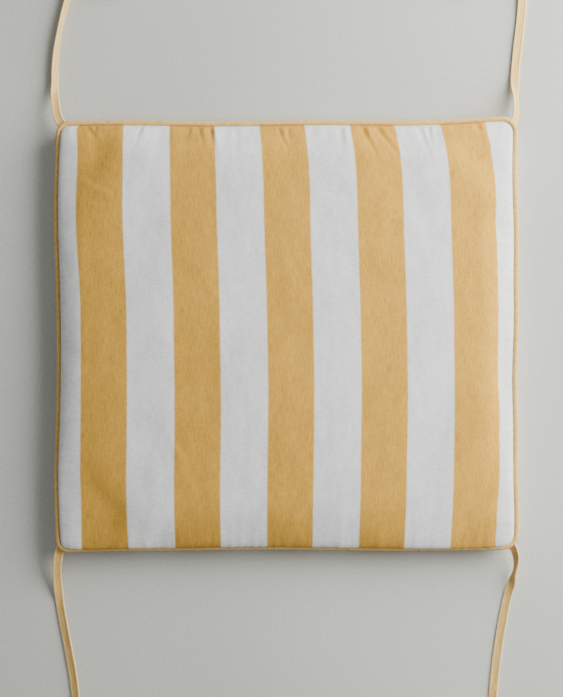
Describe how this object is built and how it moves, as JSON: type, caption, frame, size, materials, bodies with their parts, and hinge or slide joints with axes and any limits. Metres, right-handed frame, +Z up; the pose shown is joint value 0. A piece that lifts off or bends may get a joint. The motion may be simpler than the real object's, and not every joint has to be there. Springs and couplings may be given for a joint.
{
  "type": "chair seat pad",
  "caption": "Square striped chair seat pad with a piped edge, foam filling, a zip in the back edge and a fabric tie at every corner.",
  "frame": {"origin": "centre of the pad's underside, where it rests on the seat", "axes": "+Z up out of the seat, +Y towards the chair's back, +X to the right as seen from the front"},
  "size_m": [0.4154, 0.7733, 0.04],
  "materials": {
    "striped_fabric": "woven linen and cotton, yellow stripes on white",
    "trim_fabric": "plain woven cotton, pale yellow",
    "piping_cord": "twisted cotton cord",
    "foam": "open-cell polyurethane foam",
    "wadding": "soft polyester wadding",
    "thread": "polyester sewing thread",
    "zip_tape": "woven polyester tape",
    "zip_teeth": "moulded nylon",
    "zip_slider": "enamelled zinc, satin",
    "label": "satin-woven blank tape"
  },
  "bodies": {
    "pad": {"top_cover": "striped_fabric", "bottom_cover": "striped_fabric", "piping_sleeve": "trim_fabric", "piping_cord": "piping_cord", "foam_core": "foam", "top_wadding": "wadding", "bottom_wadding": "wadding", "seam_thread": "thread", "tie_tacks": "thread", "zip_upper_tape": "zip_tape", "zip_lower_tape": "zip_tape", "zip_upper_teeth": "zip_teeth", "zip_lower_teeth": "zip_teeth", "zip_end_stops": "zip_teeth", "care_label": "label"},
    "zip_slider": {"zip_slider": "zip_slider"},
    "zip_pull": {"zip_pull": "zip_slider"},
    "tie_back_left": {"tie_back_left": "trim_fabric", "tie_back_left_spare": "trim_fabric"},
    "tie_back_right": {"tie_back_right": "trim_fabric", "tie_back_right_spare": "trim_fabric"},
    "tie_front_left": {"tie_front_left": "trim_fabric", "tie_front_left_spare": "trim_fabric"},
    "tie_front_right": {"tie_front_right": "trim_fabric", "tie_front_right_spare": "trim_fabric"}
  },
  "joints": [
    {"name": "zip_slide", "type": "slide", "parent": "pad", "child": "zip_slider", "axis": [-1, 0, 0], "range_m": [0, 0.29]},
    {"name": "pull_swing", "type": "hinge", "parent": "zip_slider", "child": "zip_pull", "pos_m": [0.1452, 0.18425, 0.0116], "axis": [0, 0, -1], "range_deg": [0, 170]},
    {"name": "tie_back_left_swing", "type": "hinge", "parent": "pad", "child": "tie_back_left", "pos_m": [-0.1975, 0.1845, 0.0156], "axis": [0, 0, 1], "range_deg": [-40, 100]},
    {"name": "tie_back_right_swing", "type": "hinge", "parent": "pad", "child": "tie_back_right", "pos_m": [0.1975, 0.1845, 0.0156], "axis": [0, 0, -1], "range_deg": [-40, 100]},
    {"name": "tie_front_left_swing", "type": "hinge", "parent": "pad", "child": "tie_front_left", "pos_m": [-0.1975, -0.1845, 0.0156], "axis": [0, 0, -1], "range_deg": [-40, 100]},
    {"name": "tie_front_right_swing", "type": "hinge", "parent": "pad", "child": "tie_front_right", "pos_m": [0.1975, -0.1845, 0.0156], "axis": [0, 0, 1], "range_deg": [-40, 100]}
  ]
}
